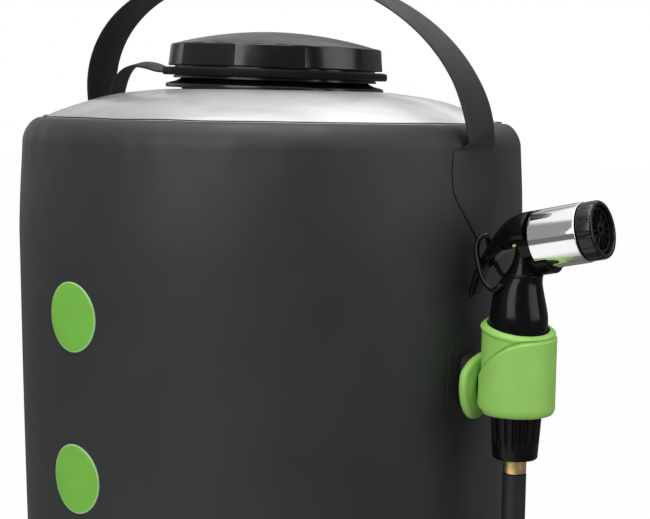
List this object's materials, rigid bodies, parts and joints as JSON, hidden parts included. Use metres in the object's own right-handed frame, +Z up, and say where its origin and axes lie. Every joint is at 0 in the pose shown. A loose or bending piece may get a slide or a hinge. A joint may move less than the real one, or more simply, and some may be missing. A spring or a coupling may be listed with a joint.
{
  "type": "camp shower bag",
  "caption": "Free-standing camp shower bag with a screw cap, a strap handle, a hose and a spray head held in a holder on its side.",
  "frame": {"origin": "centre of the round base, on the floor", "axes": "+Z up along the bag's axis; +X through the handle's right end, near the spray head; the discs are near -Y"},
  "size_m": [0.4398, 0.2768, 0.4413],
  "materials": {
    "bag_fabric": "matt coated fabric with a fine grain",
    "base_plastic": "matt",
    "clear_film": "clear glossy film",
    "neck_plastic": "satin gloss",
    "seal_rubber": "matt",
    "cap_plastic": "satin gloss",
    "ring_plastic": "satin",
    "strap_fabric": "matt coated strap",
    "patch_fabric": "matt coated fabric",
    "disc_rubber": "smooth satin",
    "holder_rubber": "smooth satin",
    "grip_plastic": "satin gloss",
    "sleeve_chrome": "polished",
    "insert_plastic": "matt",
    "valve_brass": "turned",
    "steel_wire": "bright",
    "nut_plastic": "satin gloss",
    "tail_brass": "turned",
    "hose_rubber": "smooth satin",
    "tie_plastic": "matt"
  },
  "bodies": {
    "bag": {"bag_wall": "bag_fabric", "base_panel": "base_plastic", "top_panel": "clear_film", "filler_neck": "neck_plastic", "cap_tether": "strap_fabric", "handle_patch_right": "patch_fabric", "handle_patch_left": "patch_fabric", "disc_upper": "disc_rubber", "disc_middle": "disc_rubber", "disc_lower": "disc_rubber", "holder_patch": "patch_fabric", "holder_pad": "base_plastic", "holder_wrap": "holder_rubber", "outlet_spigot": "base_plastic", "hose_clamp": "steel_wire", "hose_drop": "hose_rubber", "hose_coil": "hose_rubber", "hose_return": "hose_rubber", "coil_tie": "tie_plastic"},
    "cap_ring": {"tether_ring": "ring_plastic"},
    "cap": {"screw_cap": "cap_plastic", "cap_seal": "seal_rubber"},
    "handle": {"carry_handle": "strap_fabric"},
    "spray_head": {"grip_body": "grip_plastic", "barrel_sleeve": "sleeve_chrome", "stem_seal": "seal_rubber", "valve_retainer": "valve_brass", "valve_spring": "steel_wire", "trigger_pin": "steel_wire", "nut_washer": "seal_rubber", "hose_nut": "nut_plastic", "hose_tail": "tail_brass"},
    "trigger": {"trigger_lever": "grip_plastic"},
    "valve": {"valve_stem": "valve_brass", "valve_seal": "seal_rubber"},
    "lock": {"lock_ring": "grip_plastic"},
    "nozzle": {"pattern_ring": "grip_plastic", "spray_insert": "insert_plastic"}
  },
  "joints": [
    {"name": "cap_rise", "type": "slide", "parent": "bag", "child": "cap_ring", "axis": [0.0227, 0, 0.9997], "range_m": [0, 0.012], "deforming": ["cap_tether"]},
    {"name": "cap_turn", "type": "hinge", "parent": "cap_ring", "child": "cap", "pos_m": [0, 0, 0.36], "axis": [0.0227, 0, 0.9997], "range_deg": [0, 720]},
    {"name": "handle_swing", "type": "hinge", "parent": "bag", "child": "handle", "pos_m": [0, 0, 0.356], "axis": [0.999, -0.0436, 0], "range_deg": [-84, 51]},
    {"name": "head_lift", "type": "slide", "parent": "bag", "child": "spray_head", "axis": [0, 0, 1], "range_m": [0, 0.06], "deforming": ["hose_drop"]},
    {"name": "trigger_squeeze", "type": "hinge", "parent": "spray_head", "child": "trigger", "pos_m": [0.16571, -0.01111, 0.31415], "axis": [0.0628, -0.998, 0], "range_deg": [0, 13], "stiffness_Nm_per_rad": 0.4},
    {"name": "valve_slide", "type": "slide", "parent": "spray_head", "child": "valve", "axis": [0.9751, 0.0613, 0.213], "range_m": [0, 0.002], "deforming": ["valve_spring"]},
    {"name": "lock_swing", "type": "hinge", "parent": "spray_head", "child": "lock", "pos_m": [0.15791, -0.0116, 0.2855], "axis": [0.0628, -0.998, 0], "range_deg": [0, 12]},
    {"name": "pattern_turn", "type": "hinge", "parent": "spray_head", "child": "nozzle", "pos_m": [0.17228, -0.01069, 0.3074], "axis": [0.9751, 0.0613, 0.213], "continuous": true}
  ],
  "couplings": [
    {"joint": "cap_rise", "follows": "cap_turn", "m_per_rad": 0.000954},
    {"joint": "valve_slide", "follows": "trigger_squeeze", "m_per_rad": 0.008}
  ]
}
